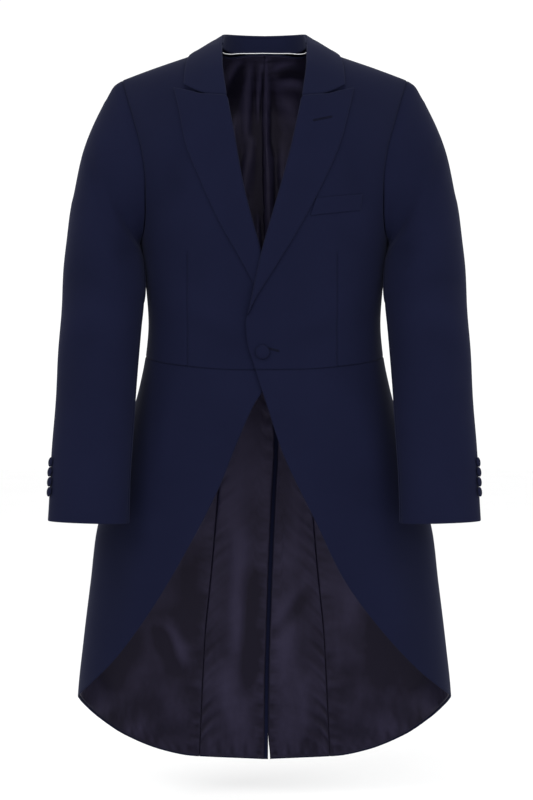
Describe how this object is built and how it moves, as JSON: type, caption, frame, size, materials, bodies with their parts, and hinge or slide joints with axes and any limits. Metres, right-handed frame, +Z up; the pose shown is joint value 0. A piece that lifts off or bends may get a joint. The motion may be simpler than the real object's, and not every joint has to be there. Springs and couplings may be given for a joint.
{
  "type": "morning coat",
  "caption": "Hollow worn tailcoat with peak lapels, a covered front button, cutaway fronts, waist seam, long lined tails and a back vent.",
  "frame": {"origin": "in the middle of the neck opening, level with the side of the neck, where the wearer's shoulders carry the coat", "axes": "+Z up along the wearer's body, -Y the way the front faces, +X the wearer's left"},
  "size_m": [0.598, 0.3119, 1.0846],
  "materials": {
    "navy_cloth": "fine worsted wool, matt, dark navy",
    "collar_cloth": "fine worsted wool, matt, dark navy",
    "lining": "smooth lining satin, soft sheen, blue-grey",
    "piping": "white cord covered in satin",
    "button_cloth": "buttons covered in the coat's cloth"
  },
  "bodies": {
    "root": {"front_left": "navy_cloth", "front_right": "navy_cloth", "sidebody_left": "navy_cloth", "sidebody_right": "navy_cloth", "skirt_left": "navy_cloth", "skirt_right": "navy_cloth", "back_left": "navy_cloth", "back_right": "navy_cloth", "sleeve_top_left": "navy_cloth", "sleeve_top_right": "navy_cloth", "sleeve_under_left": "navy_cloth", "sleeve_under_right": "navy_cloth", "lapel_left": "navy_cloth", "lapel_right": "navy_cloth", "breast_welt": "navy_cloth", "collar_fall": "collar_cloth", "collar_stand": "collar_cloth", "neck_piping": "piping", "lining_back_left": "lining", "lining_back_right": "lining", "lining_skirt_left": "lining", "lining_skirt_right": "lining", "front_button": "button_cloth", "cuff_button_left_1": "button_cloth", "cuff_button_left_2": "button_cloth", "cuff_button_left_3": "button_cloth", "cuff_button_left_4": "button_cloth", "cuff_button_right_1": "button_cloth", "cuff_button_right_2": "button_cloth", "cuff_button_right_3": "button_cloth", "cuff_button_right_4": "button_cloth"}
  },
  "joints": []
}
